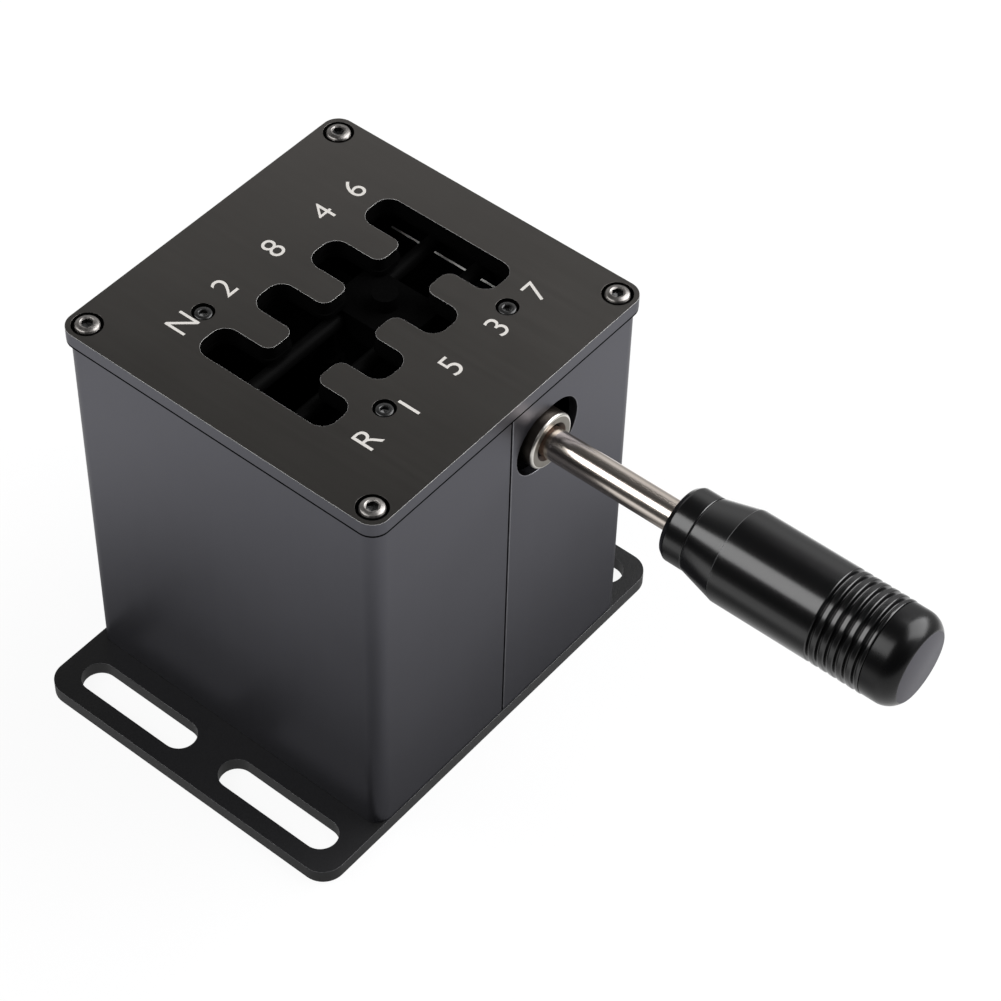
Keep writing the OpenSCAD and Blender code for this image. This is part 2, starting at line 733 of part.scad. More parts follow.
// Slide on the cross rods; the long groove below takes the rocker's post
module finger_block() {
    back = post_x - shift_travel - 4.6;
    ahead = post_front + shift_travel + 3.8;
    color([0.13, 0.13, 0.14]) difference() {
        union() {
            span([gate_x - 14, rest_y - 10, block_z], [gate_x + 14, rest_y + 10, block_top]);
            span([back - 2.2, rest_y - 7.5, groove_bot], [ahead + 2.5, rest_y + 7.5, block_z]);
            span([back - 2.2, rest_y - 7.5, block_z], [gate_x - 14, rest_y + 7.5, block_z + 2]);
        }
        span([back, rest_y - 3 - wander, groove_bot - 1], [ahead, rest_y + 3 + wander, groove_top]);
        for (x = [cross_x_front, cross_x_rear]) bar_y(x, rest_y - 11, rest_y + 11, cross_z, cross_r + run);
        bar_z(gate_x, rest_y, cross_z - 1, block_top + 1, finger_r - 0.5);
    }
}

module selector_finger() {
    color([0.2, 0.2, 0.21]) {
        bar_z(gate_x, rest_y, cross_z - 1, block_top + 0.5, finger_r - 0.5);
        bar_z(gate_x, rest_y, block_top, top_z - 2.2, finger_r);
    }
}

base_plate();
shell_near();
shell_far();
seam_strap_front();
seam_strap_rear();
gate_plate();
gate_liner();
corner_screw_left();
corner_screw_back();
corner_screw_right();
corner_screw_front();
liner_screw_left();
liner_screw_right();
liner_screw_front();
base_screws();
shelf();
shelf_posts();
guide_rod_near();
guide_rod_far();
rod_blocks_near();
rod_blocks_far();
upper_bearing();
rocker_stud();
circuit_board();
usb_socket();
sensor_near();
sensor_far();
swivel();
flanged_bush();
swivel_arm();
shaft();
drive_pin();
knob_collar();
knob_grip();
knob_cap();
rocker();
rocker_post();
carriage_near();
carriage_far();
drive_bar();
cross_rod_front();
cross_rod_rear();
finger_block();
selector_finger();
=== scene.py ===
import math
import bmesh
import bpy
from mathutils import Matrix, Vector


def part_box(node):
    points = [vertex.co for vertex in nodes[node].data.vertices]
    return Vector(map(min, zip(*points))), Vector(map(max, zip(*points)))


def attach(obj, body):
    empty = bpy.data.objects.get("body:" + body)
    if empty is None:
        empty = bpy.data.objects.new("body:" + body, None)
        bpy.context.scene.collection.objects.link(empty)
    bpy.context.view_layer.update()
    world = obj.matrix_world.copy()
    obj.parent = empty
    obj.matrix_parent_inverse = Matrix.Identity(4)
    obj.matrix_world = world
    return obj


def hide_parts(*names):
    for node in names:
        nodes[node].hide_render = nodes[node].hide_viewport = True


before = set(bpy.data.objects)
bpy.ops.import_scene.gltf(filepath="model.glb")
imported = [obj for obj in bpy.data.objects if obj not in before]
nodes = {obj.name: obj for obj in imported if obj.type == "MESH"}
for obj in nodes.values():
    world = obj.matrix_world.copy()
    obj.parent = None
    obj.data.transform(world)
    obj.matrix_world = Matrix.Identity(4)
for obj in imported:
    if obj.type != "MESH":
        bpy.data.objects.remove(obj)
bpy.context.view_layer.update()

# View
# The camera stands at the photograph's angle, high in front of the near right corner,
# and leans a little to one side, as the photograph does.
turn, tilt, lean = (math.radians(angle) for angle in (37.92, 48.39, 1.85))
distance, shift_right, shift_up = 0.96814, 0.0450, 0.03736
aim = Vector((0, 0, 0.005))
back = Vector((math.sin(turn) * math.cos(tilt), -math.cos(turn) * math.cos(tilt), math.sin(tilt)))
side = Vector((0, 0, 1)).cross(back).normalized()
rise = back.cross(side)
right = math.cos(lean) * side + math.sin(lean) * rise
up = math.cos(lean) * rise - math.sin(lean) * side
spot = aim + back * distance + right * shift_right + up * shift_up


def put(name, content):
    """A new object in the scene."""
    holder = bpy.data.objects.new(name, content)
    bpy.context.scene.collection.objects.link(holder)
    return holder


camera = put("camera", bpy.data.cameras.new("camera"))
lens_mm, sensor_mm = 108.06, 36
camera.data.lens, camera.data.sensor_width = lens_mm, sensor_mm
camera.matrix_world = Matrix([(right[i], up[i], back[i], spot[i]) for i in range(3)] + [(0, 0, 0, 1)])
bpy.context.scene.camera = camera
bpy.context.scene.view_settings.view_transform = "Standard"


# Studio
# A sheet of pale paper runs out of sight under two soft lamps, as in a small product studio.
# Mirror-like surfaces see a painted shade on it, darker close to the box, and painted light, lighter farther
# out.
def maths_node(operation, swapped=False):
    """A method that adds a Math node; its reflected form has the two values swapped."""
    def combine(self, other):
        pair = (other, self) if swapped else (self, other)
        return self.bench.maths(operation, *pair)
    return combine


class Wire:
    """One output socket. Sums and products on it become Math nodes."""

    def __init__(self, bench, node, socket):
        self.bench, self.node, self.socket = bench, node, socket

    __add__, __radd__ = maths_node("ADD"), maths_node("ADD", swapped=True)
    __sub__, __rsub__ = maths_node("SUBTRACT"), maths_node("SUBTRACT", swapped=True)
    __mul__, __rmul__ = maths_node("MULTIPLY"), maths_node("MULTIPLY", swapped=True)
    __truediv__, __rtruediv__ = maths_node("DIVIDE"), maths_node("DIVIDE", swapped=True)
    __pow__, __rpow__ = maths_node("POWER"), maths_node("POWER", swapped=True)


class Bench:
    """A node tree and the one method that adds a node to it, with short forms for common nodes."""

    def __init__(self, tree):
        self.tree = tree
        tree.nodes.clear()

    def make(self, kind, settings={}, values={}, take=0):
        node = self.tree.nodes.new(kind)
        for key, value in settings.items():
            setattr(node, key, value)
        for key, value in values.items():
            if isinstance(value, Wire):
                self.tree.links.new(value.socket, node.inputs[key])
            else:
                node.inputs[key].default_value = value
        return Wire(self, node, node.outputs[take]) if node.outputs else node

    def maths(self, operation, first, second=0.5):
        return self.make("ShaderNodeMath", {"operation": operation}, {0: first, 1: second})

    def ramp(self, value, start, end, low, high, kind="LINEAR"):
        """A number that goes from low to high while the value goes from start to end."""
        ends = {0: value, 1: start, 2: end, 3: low, 4: high}
        return self.make("ShaderNodeMapRange", {"interpolation_type": kind}, ends)

    def tint(self, mask, low, high):
        """A colour that goes from low to high with the mask."""
        ends = {0: mask, 6: (*low, 1), 7: (*high, 1)}
        return self.make("ShaderNodeMix", {"data_type": "RGBA"}, ends, take=2)

    def axes(self, place):
        """The three coordinates of a place."""
        split = self.make("ShaderNodeSeparateXYZ", {}, {0: place}).node
        return [Wire(self, split, socket) for socket in split.outputs]

    def rays(self):
        """Whether a ray comes from the camera, from a glossy surface and from a clear one."""
        path = self.make("ShaderNodeLightPath").node
        kinds = ("Camera", "Glossy", "Transmission")
        return [Wire(self, path, path.outputs[f"Is {kind} Ray"]) for kind in kinds]


floor_reach, floor_level = 9, -0.0003
sheet = [(x * floor_reach, y * floor_reach, floor_level) for x, y in ((-1, -1), (1, -1), (1, 1), (-1, 1))]
floor_mesh = bpy.data.meshes.new("floor")
floor_mesh.from_pydata(sheet, [], [(0, 1, 2, 3)])
floor = put("floor", floor_mesh)
paper = bpy.data.materials.new("pale_paper")
paper.use_nodes = True
bench = Bench(paper.node_tree)
from_camera, from_gloss, from_glass = bench.rays()
east, north, _ = bench.axes(bench.make("ShaderNodeTexCoord", take=3))
# What mirror-like rays see of the paper is painted: painted shade close to the box and at its near corner,
# painted light towards +y and -x, and darker again far off.
base_half_x, base_half_y, base_centre_y = 0.059, 0.081, -0.003
past_x = bench.maths("MAXIMUM", bench.maths("ABSOLUTE", east) - base_half_x, 0.0)
past_y = bench.maths("MAXIMUM", bench.maths("ABSOLUTE", north - base_centre_y) - base_half_y, 0.0)
beyond = (past_x * past_x + past_y * past_y) ** 0.5
open_floor = bench.ramp(beyond, 0.0, 0.085, 0.29, 1.02, "SMOOTHSTEP")
right_side = bench.ramp(north, 0.02, 0.16, 1.0, 1.35)
far_side = bench.ramp(north, 0.18, 0.36, 1.0, 0.3)
left_side = bench.ramp(east, -0.08, -0.02, 1.17, 1.0)
front_end = bench.ramp(0 - north, 0.45, 0.85, 1.0, 0.15)
near_corner = 1 - bench.ramp(beyond, 0.06, 0.13, 0.6, 0.0) * bench.ramp(east - north, 0.11, 0.19, 0.0, 1.0)
mirrored = near_corner * open_floor * right_side * far_side * left_side * front_end
pale_grey, paper_share = (0.74, 0.74, 0.75, 1), 0.92
plain = bench.make("ShaderNodeBsdfDiffuse", {}, {"Color": pale_grey})
glow = bench.make("ShaderNodeEmission", {}, {"Color": (1, 1, 1, 1),
                                             "Strength": from_camera + from_glass + from_gloss * mirrored})
share = (from_camera + from_glass) * paper_share + from_gloss
mixed = bench.make("ShaderNodeMixShader", {}, {0: share, 1: plain, 2: glow})
bench.make("ShaderNodeOutputMaterial", {}, {"Surface": mixed})
floor_mesh.materials.append(paper)

world = bpy.data.worlds.new("studio")
bpy.context.scene.world = world
world.use_nodes = True
bench = Bench(world.node_tree)
from_camera, from_gloss, from_glass = bench.rays()
_, depth, height = bench.axes(bench.make("ShaderNodeTexCoord"))
low_wall = bench.ramp(height, 0.46, 0.82, 1.0, 0.0, "SMOOTHSTEP")
back_wall = bench.ramp(depth, -0.1, 0.35, 0.0, 1.0)
skirting = bench.ramp(height, 0.0, 0.35, 0.5, 1.0)
dark_room, lit_wall, fill = 0.058, 0.76, 0.2
mirrored = dark_room + lit_wall * low_wall * back_wall * skirting
others = 1 - from_camera - from_gloss - from_glass
strength = from_camera + from_glass + from_gloss * mirrored + others * fill
sky = bench.make("ShaderNodeBackground", {}, {"Color": (1, 1, 1, 1), "Strength": strength})
bench.make("ShaderNodeOutputWorld", {}, {"Surface": sky})


def lamp(name, place, aim, size, power, colour):
    """An oblong soft lamp that looks at a point."""
    light = bpy.data.lights.new(name, "AREA")
    light.shape = "RECTANGLE"
    light.size, light.size_y = size
    light.energy, light.color = power, colour
    look = (Vector(aim) - Vector(place)).to_track_quat("-Z", "Y").to_matrix().to_4x4()
    put(name, light).matrix_world = Matrix.Translation(place) @ look


lamp("lamp_behind_right", (0.64, 0.94, 1.10), (0.05, 0, 0.1),
     size=(1.5, 1.5), power=49, colour=(0.99, 0.99, 1))
lamp("lamp_front_left", (-0.92, -0.76, 1.07), (-0.92, 0.015, 0.12),
     size=(1.9, 0.72), power=20.2, colour=(1, 1, 1))


# Base plate
# Laser-cut steel sheet 5 mm thick with two slots in each flange for the rig's bolts.
# Its edges are broken by hand and it is powder coated in a fine satin black.
class Finish(Bench):
    """A material with a Principled shader, whose patterns lie in the piece's own space."""

    def __init__(self, name, metal=0.0, gloss=0.5, rim=1.0):
        self.material = bpy.data.materials.new(name)
        self.material.use_nodes = True
        super().__init__(self.material.node_tree)
        self.metal, self.gloss, self.rim = metal, gloss, rim
        self.place = self.make("ShaderNodeTexCoord", take=3)

    def noise(self, scale, detail=3.0, stretch=(1, 1, 1)):
        at = self.make("ShaderNodeMapping", {}, {"Vector": self.place, "Scale": stretch})
        values = {"Vector": at, "Scale": scale, "Detail": detail, "Roughness": 0.6}
        return self.make("ShaderNodeTexNoise", {}, values)

    def close(self, mask, low, high, rough, relief=None, height=0.0):
        """The finished material; its colour goes from low to high with the mask."""
        values = {"Base Color": self.tint(mask, low, high), "Roughness": rough, "Metallic": self.metal,
                  "Specular IOR Level": self.gloss, "Specular Tint": (self.rim, self.rim, self.rim, 1)}
        if relief is not None:
            bump = {"Strength": 1.0, "Distance": height, "Height": relief}
            values["Normal"] = self.make("ShaderNodeBump", {}, bump)
        shader = self.make("ShaderNodeBsdfPrincipled", {}, values)
        self.make("ShaderNodeOutputMaterial", {}, {"Surface": shader})
        return self.material


def settle(piece):
    """Works a piece's modifiers into a plain mesh of its own."""
    done = bpy.data.meshes.new_from_object(piece.evaluated_get(bpy.context.evaluated_depsgraph_get()))
    piece.modifiers.clear()
    piece.data = done
    done.name = piece.name
    return piece


def eased_copy(node, name, width, faces, edges, steps=2):
    """A merged copy of a CAD node with its sharp edges broken; the broken edges take the second finish."""
    same_place, flat_angle, sharp_angle = 2e-6, math.radians(0.4), math.radians(32)
    mesh = nodes[node].data.copy()
    shape = bmesh.new()
    shape.from_mesh(mesh)
    bmesh.ops.remove_doubles(shape, verts=shape.verts, dist=same_place)
    bmesh.ops.dissolve_limit(shape, angle_limit=flat_angle, verts=shape.verts, edges=shape.edges)
    for face in shape.faces:
        face.smooth = True
        face.material_index = 0
    shape.to_mesh(mesh)
    shape.free()
    mesh.materials.clear()
    mesh.materials.append(faces)
    mesh.materials.append(edges)
    piece = put(name, mesh)
    ease = piece.modifiers.new("ease", "BEVEL")
    ease.width, ease.segments = width, steps
    ease.limit_method, ease.angle_limit = "ANGLE", sharp_angle
    ease.material = 1
    ease.use_clamp_overlap = True
    piece.modifiers.new("shade", "WEIGHTED_NORMAL").keep_sharp = True
    return settle(piece)


coat = Finish("base_powder_coat", gloss=0.36)
grain = coat.noise(1400, 2)
cloud = coat.noise(28, 3)
base_paint = coat.close(cloud, (0.003, 0.003, 0.00323), (0.006, 0.006, 0.0063),
                        0.34 + cloud * 0.12, grain, 0.00005)
coat = Finish("base_broken_edge", gloss=0.6)
rub = coat.noise(420, 4)
base_edge = coat.close(rub, (0.0416, 0.0416, 0.0432), (0.16, 0.16, 0.168), 0.26 + rub * 0.1)
coat = Finish("base_cut_side", gloss=0.75)
grain = coat.noise(900, 3)
base_side = coat.close(grain, (0.009, 0.009, 0.0094), (0.017, 0.017, 0.0177), 0.36 + grain * 0.1)
upright = 0.3
base_skin = eased_copy("base_plate", "base_sheet", 0.0005, base_paint, base_edge, steps=3)
base_skin.data.materials.append(base_side)
for face in base_skin.data.polygons:
    if face.material_index == 0 and abs(face.normal.z) < upright:
        face.material_index = 2
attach(base_skin, "housing")
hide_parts("base_plate")

# Half shells, seam straps and upper bearing
# Two extruded aluminium half shells with round screw ports in their corners, fine blasted and
# anodised dark grey. They are joined over two black steel straps inside.
coat = Finish("shell_anodising", metal=0.92, gloss=0.5, rim=0.6)
grain = coat.noise(2300, 2)
drawn = coat.noise(300, 4, (1, 1, 0.02))
cloud = coat.noise(16, 4)
wall_paint = coat.close(cloud * 0.7 + drawn * 0.3, (0.086, 0.086, 0.097), (0.109, 0.109, 0.123),
                        0.31 + cloud * 0.06 + drawn * 0.04, grain, 0.00001)
coat = Finish("shell_cut_edge", metal=0.9)
rub = coat.noise(500, 3)
wall_edge = coat.close(rub, (0.10, 0.10, 0.11), (0.22, 0.22, 0.235), 0.3 + rub * 0.1)
for node, name in (("shell_near", "half_shell_near"), ("shell_far", "half_shell_far")):
    shell = eased_copy(node, name, 0.00025, wall_paint, wall_edge)
    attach(shell, "housing")
    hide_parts(node)


def dress(finish, *names):
    """Gives CAD nodes a material and leaves their meshes as they are."""
    for name in names:
        nodes[name].data.materials.clear()
        nodes[name].data.materials.append(finish)


# Black oxide steel taken to near black without sheen: its own black, and painted shade on the liner and the
# parts under the gate.
coat = Finish("blackened_steel", gloss=0.0)
grain = coat.noise(900, 3)
black_steel = coat.close(grain, (0.0009, 0.0009, 0.0009), (0.0021, 0.0021, 0.0021),
                         0.45 + grain * 0.12, grain, 0.00003)
dress(black_steel, "seam_strap_front", "seam_strap_rear", "upper_bearing")

# Gate plate and liner
# A 4.6 mm aluminium plate milled with the gear lanes and their neutral channel, satin anodised grey;
# its top is painted warm, a painted warm reflection, and lighter at its far edge, painted light. Its lane
# edges are cut bright afterwards, its sides match the walls, its lane walls and screw pockets are painted
# near black, painted shade, and a thin black liner lies under it.
corner_names = [f"corner_screw_{place}" for place in ("left", "back", "right", "front")]
liner_names = [f"liner_screw_{place}" for place in ("left", "right", "front")]


def seats(names, level):
    """The middle of each named screw, at one level."""
    boxes = [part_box(name) for name in names]
    return [((low.x + high.x) / 2, (low.y + high.y) / 2, level) for low, high in boxes]


# The top's warm grey is a painted warm reflection; the plate's sides take the walls' finish.
coat = Finish("gate_anodising", metal=1.0, rim=0.7)
grain = coat.noise(2600, 2)
brushed = coat.noise(500, 4, (0.03, 1, 1))
cloud = coat.noise(20, 3)
across, along, _ = coat.axes(coat.place)
# The top is painted lighter towards the plate's far edge: painted light.
far_x, far_y, half_run = -0.62, 0.78, 0.075
far_edge_painted_light = coat.ramp(along * far_y + across * far_x, -half_run, half_run, 0.0, 1.0)
gate_paint = coat.close(far_edge_painted_light * 0.8 + cloud * 0.12 + brushed * 0.08,
                        (0.080, 0.076, 0.071), (0.146, 0.138, 0.130),
                        0.25 + cloud * 0.05 + brushed * 0.05, grain, 0.000004)
coat = Finish("gate_bright_edge", metal=0.35)
rub = coat.noise(300, 4)
gate_edge = coat.close(rub, (0.30, 0.30, 0.295), (0.60, 0.59, 0.575), 0.46 + rub * 0.1)
# Near black for the lane walls and the screw pockets: painted shade in the plate's openings.
coat = Finish("gate_lane_wall", gloss=0.0)
rub = coat.noise(350, 4)
lane_wall_shade = coat.close(rub, (0.001, 0.001, 0.001), (0.003, 0.003, 0.003), 0.3 + rub * 0.2)
plate = eased_copy("gate_plate", "gate_top_plate", 0.00034, gate_paint, gate_edge)
for finish in (lane_wall_shade, wall_paint):
    plate.data.materials.append(finish)
gate_low, gate_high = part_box("gate_plate")
lid_top = gate_high.z
edge_band, round_r = 0.0004, 0.0056
corner_pocket_r, liner_pocket_r = 0.0055, 0.0045
face_top = lid_top - edge_band
round_x, round_y = gate_high.x - round_r, gate_high.y - round_r
pockets = [(x, y, pocket_r)
           for names, pocket_r in ((corner_names, corner_pocket_r), (liner_names, liner_pocket_r))
           for x, y, _ in seats(names, lid_top)]
for face in plate.data.polygons:
    middle = face.center
    in_pocket = any(math.hypot(middle.x - x, middle.y - y) < pocket_r for x, y, pocket_r in pockets)
    if face.material_index == 1 and in_pocket:
        face.material_index = 0
    outward = math.hypot(max(abs(middle.x) - round_x, 0), max(abs(middle.y) - round_y, 0))
    if outward > round_r - edge_band and middle.z < face_top:
        face.material_index = 3
    # Lane walls and pocket floors take the near-black finish: painted shade.
    elif middle.z < face_top or abs(face.normal.z) < upright:
        face.material_index = 2
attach(plate, "housing")
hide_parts("gate_plate")
dress(black_steel, "gate_liner")

# Lid shadow strip
# A thin black ring under the plate's lip, let into the shells' top edge, which shows as a dark
# hairline: a dark strip put where the lip's shade falls, a painted shadow line.
shadow_strip_tuck, shadow_strip_wide, shadow_strip_thick = 0.00004, 0.0016, 0.0007
quarter_steps = 8


def ring_of(radius, level):
    """Points round the plate's rounded outline, the corners with this radius."""
    centre_x, centre_y = round_x - shadow_strip_tuck, round_y - shadow_strip_tuck
    points = []
    for quarter, (sign_x, sign_y) in enumerate(((1, 1), (-1, 1), (-1, -1), (1, -1))):
        for k in range(quarter_steps + 1):
            angle = math.pi / 2 * (quarter + k / quarter_steps)
            x, y = radius * math.cos(angle), radius * math.sin(angle)
            points.append((sign_x * centre_x + x, sign_y * centre_y + y, level))
    return points


top, bottom, inner_r = gate_low.z, gate_low.z - shadow_strip_thick, round_r - shadow_strip_wide
rings = [ring_of(*row) for row in ((round_r, bottom), (round_r, top), (inner_r, top), (inner_r, bottom))]
count = len(rings[0])
faces = []
for row in range(4):
    here, there = count * row, count * ((row + 1) % 4)
    faces += [(here + k, here + (k + 1) % count, there + (k + 1) % count, there + k) for k in range(count)]
# A dark strip put in the shade under the lip: a painted shadow line.
shadow_strip_mesh = bpy.data.meshes.new("lid_seal")
shadow_strip_mesh.from_pydata(sum(rings, []), [], faces)
shadow_strip_mesh.materials.append(black_steel)
shadow_strip = put("lid_seal", shadow_strip_mesh)
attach(shadow_strip, "housing")

# Gear marks
# Plain numerals and letters beside the lanes, engraved in the plate and filled with pale grey paint.
# They read from the lever's side, each centred on its own spot (sign, x and y in mm).
marks = [("6", -33.5, 38.3), ("4", -33.9, 24.5), ("8", -34.7, 3.5), ("2", -34.4, -17.9), ("N", -33.6, -36.3),
         ("7", 35.0, 39.5), ("3", 35.8, 21.0), ("5", 35.8, 0.5), ("1", 37.2, -19.4), ("R", 36.3, -35.9)]
mark_size, mark_thinning, mark_thick, mark_lift = 0.0112, -0.00006, 0.00003, 0.00002
coat = Finish("engraved_mark")
speck = coat.noise(2500, 3)
mark_paint = coat.close(speck, (0.3168, 0.3036, 0.286), (0.4928, 0.4752, 0.4488), 0.6 + speck * 0.2)
for order, (sign, x, y) in enumerate(marks):
    words = bpy.data.curves.new("mark", "FONT")
    words.body = sign
    words.align_x, words.align_y = "CENTER", "CENTER"
    words.size, words.offset, words.extrude = mark_size, mark_thinning, mark_thick
    holder = put("mark", words)
    bpy.context.view_layer.update()
    mesh = bpy.data.meshes.new_from_object(holder)
    bpy.data.objects.remove(holder)
    xs = [vert.co.x for vert in mesh.vertices]
    ys = [vert.co.y for vert in mesh.vertices]
    mesh.transform(Matrix.Translation((-(min(xs) + max(xs)) / 2, -(min(ys) + max(ys)) / 2, 0)))
    quarter_turn = Matrix.Rotation(math.pi / 2, 4, "Z")
    mesh.transform(Matrix.Translation((x / 1000, y / 1000, lid_top + mark_lift)) @ quarter_turn)
    mesh.materials.clear()
    mesh.materials.append(mark_paint)
    piece = put(f"mark_{order + 1}", mesh)
    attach(piece, "housing")

# Screws
# Button head screws M4 of bright steel at the plate's corners and under the base, and M3 cap
# screws in black oxide that hold the liner. Each set is one head repeated on its spots.
coat = Finish("screw_steel", metal=1.0)
grain = coat.noise(900, 4)
screw_steel = coat.close(grain, (0.09, 0.085, 0.082), (0.32, 0.305, 0.29), 0.26 + grain * 0.16)
coat = Finish("screw_black_oxide", gloss=0.5)
grain = coat.noise(1200, 3)
screw_black = coat.close(grain, (0.003, 0.003, 0.003), (0.010, 0.010, 0.010), 0.2 + grain * 0.15)


def revolve(stations, place, sides, name, finish):
    """A mesh turned about an axis from stations of (radius, height); place puts a point in the scene."""
    points, rows, faces = [], [], []
    for radius, level in stations:
        if radius < 1e-7:
            rows.append([len(points)])
            points.append(place(0, 0, level))
        else:
            rows.append(list(range(len(points), len(points) + sides)))
            angles = [2 * math.pi * k / sides for k in range(sides)]
            points += [place(radius * math.cos(angle), radius * math.sin(angle), level) for angle in angles]
    for low, high in zip(rows, rows[1:]):
        for k in range(sides):
            after = (k + 1) % sides
            ring = [low[k % len(low)], low[after % len(low)], high[after % len(high)], high[k % len(high)]]
            faces.append(list(dict.fromkeys(ring)))
    mesh = bpy.data.meshes.new(name)
    mesh.from_pydata(points, [], faces)
    shape = bmesh.new()
    shape.from_mesh(mesh)
    bmesh.ops.recalc_face_normals(shape, faces=shape.faces)
    for face in shape.faces:
        face.smooth = True
    shape.to_mesh(mesh)
    shape.free()
    mesh.materials.append(finish)
    mesh.set_sharp_from_angle(angle=math.radians(38))
    return mesh


def head_mesh(name, radius, height, bore, deep, shank, length, domed, finish, socket_shade):
    """A screw with a domed or a flat head and a six-sided bore, its seat at zero and its axis up."""
    sides = 48
    if domed:
        crown = [(radius, 0.0), (radius, height - domed - 0.0001), (radius - 0.00008, height - domed)]
        outer, inner, steps = radius * 0.985, bore * 1.22, 8
        for k in range(1, steps + 1):
            ring_r = outer + (inner - outer) * k / steps
            bulge = domed * 1.12 * math.sqrt(1 - (ring_r / radius) ** 2)
            crown.append((ring_r, height - domed + bulge))
        crown.append((bore * 1.12, crown[-1][1] - 0.0001))
    else:
        crown = [(radius, 0.0), (radius, height - 0.00035), (radius - 0.0001, height - 0.00015),
                 (radius - 0.00035, height), (bore * 1.16, height)]
    mouth_r, top = crown[-1]
    stations = [(0.0, -length), (shank, -length), (shank, 0.0)] + crown
    mesh = revolve(stations, lambda x, y, z: (x, y, z), sides, name, finish)
    shape = bmesh.new()
    shape.from_mesh(mesh)
    rim = [vert for vert in shape.verts
           if abs(vert.co.z - top) < 1e-9 and vert.co.xy.length < mouth_r + 1e-7]
    rim.sort(key=lambda vert: math.atan2(vert.co.y, vert.co.x))

    def hexed(vert, level):
        """A point of the rim moved to the bore's six-sided outline."""
        angle = math.atan2(vert.co.y, vert.co.x) % (math.pi / 3)
        ratio = bore * math.cos(math.pi / 6) / math.cos(angle - math.pi / 6) / vert.co.xy.length
        return (vert.co.x * ratio, vert.co.y * ratio, level)

    # Below its mouth the bore takes the second, dark finish: painted shade in the socket.
    last = rim
    for level, in_socket_shade in ((top - 0.00012, 0), (top - deep, 1)):
        ring = [shape.verts.new(hexed(vert, level)) for vert in rim]
        for k in range(sides):
            after = (k + 1) % sides
            face = shape.faces.new((last[k], last[after], ring[after], ring[k]))
            face.smooth = False
            face.material_index = in_socket_shade
        last = ring
    tip = shape.verts.new((0, 0, top - deep - 0.0006))
    for k in range(sides):
        shape.faces.new((last[k], last[(k + 1) % sides], tip)).material_index = 1
    bmesh.ops.recalc_face_normals(shape, faces=shape.faces)
    shape.to_mesh(mesh)
    shape.free()
    mesh.materials.append(socket_shade)
    return put(name, mesh)


def new_group(name, inputs, result):
    """An empty Geometry Nodes tree with named inputs, its bench, and the wires that bring them."""
    group = bpy.data.node_groups.new(name, "GeometryNodeTree")
    for label, kind in inputs:
        group.interface.new_socket(label, in_out="INPUT", socket_type=f"NodeSocket{kind}")
    group.interface.new_socket(result, in_out="OUTPUT", socket_type="NodeSocketGeometry")
    work = Bench(group)
    given = work.make("NodeGroupInput").node
    return group, work, {socket.name: Wire(work, given, socket) for socket in given.outputs if socket.name}


def grow(piece, group, values):
    """Runs a Geometry Nodes tree on a piece, with values for its named inputs, and keeps the plain mesh."""
    step = piece.modifiers.new(group.name, "NODES")
    step.node_group = group
    key = {socket.name: socket.identifier for socket in group.interface.items_tree}
    for label, value in values.items():
        step[key[label]] = value
    return settle(piece)


def spread(name, spots, head, flip, seed, finish):
    """One screw on every spot, each turned by chance about its own axis, as a plain mesh."""
    inputs = (("Spots", "Geometry"), ("Screw", "Object"), ("Size", "Float"), ("Seed", "Int"),
              ("Steel", "Material"))
    group, work, take = new_group("screws_on_spots", inputs, "Screws")
    screw = work.make("GeometryNodeObjectInfo", {}, {"Object": take["Screw"]}, take=4)
    chance = work.make("FunctionNodeRandomValue", {"data_type": "FLOAT"},
                       {2: 0.0, 3: 6.283, "Seed": take["Seed"]}, take=1)
    turned = work.make("ShaderNodeCombineXYZ", {}, {0: math.pi if flip else 0.0, 2: chance})
    placed = work.make("GeometryNodeInstanceOnPoints", {}, {"Points": take["Spots"], "Instance": screw,
                                                            "Rotation": turned, "Scale": take["Size"]})
    solid = work.make("GeometryNodeRealizeInstances", {}, {0: placed})
    bright_faces = work.make("FunctionNodeCompare", {"data_type": "INT", "operation": "EQUAL"},
                             {2: work.make("GeometryNodeInputMaterialIndex"), 3: 0})
    bright = work.make("GeometryNodeSetMaterial", {},
                       {"Geometry": solid, "Material": take["Steel"], "Selection": bright_faces})
    work.make("NodeGroupOutput", {}, {0: bright})
    mesh = bpy.data.meshes.new(name)
    mesh.from_pydata(spots, [], [])
    piece = grow(put(name, mesh), group, {"Screw": head, "Size": 1.0, "Seed": seed, "Steel": finish})
    bpy.data.objects.remove(head)
    return piece


corner_sink, liner_sink = 0.0024, 0.003
button = head_mesh("button_head", radius=0.0038, height=0.0032, bore=0.0019, deep=0.0016, shank=0.002,
                   length=0.014, domed=0.0009, finish=screw_steel, socket_shade=screw_black)
corners = spread("corner_screws", seats(corner_names, lid_top - corner_sink), button, False, 4, screw_steel)
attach(corners, "housing")
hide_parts(*corner_names)
cap = head_mesh("cap_head", radius=0.00275, height=0.0026, bore=0.0014, deep=0.0014, shank=0.0015,
                length=0.003, domed=0.0, finish=screw_black, socket_shade=screw_black)
liners = spread("liner_screws", seats(liner_names, lid_top - liner_sink), cap, False, 7, screw_black)
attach(liners, "housing")
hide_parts(*liner_names)
low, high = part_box("base_screws")
foot_r, foot_seat = 0.0039, 0.0024
under = [(x, y, foot_seat) for x in (low.x + foot_r, high.x - foot_r)
         for y in (low.y + foot_r, high.y - foot_r)]
button = head_mesh("base_button_head", radius=0.0038, height=0.0021, bore=0.0015, deep=0.0012, shank=0.002,
                   length=0.014, domed=0.0012, finish=screw_steel, socket_shade=screw_black)
feet = spread("base_button_screws", under, button, True, 9, screw_steel)
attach(feet, "housing")
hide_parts("base_screws")

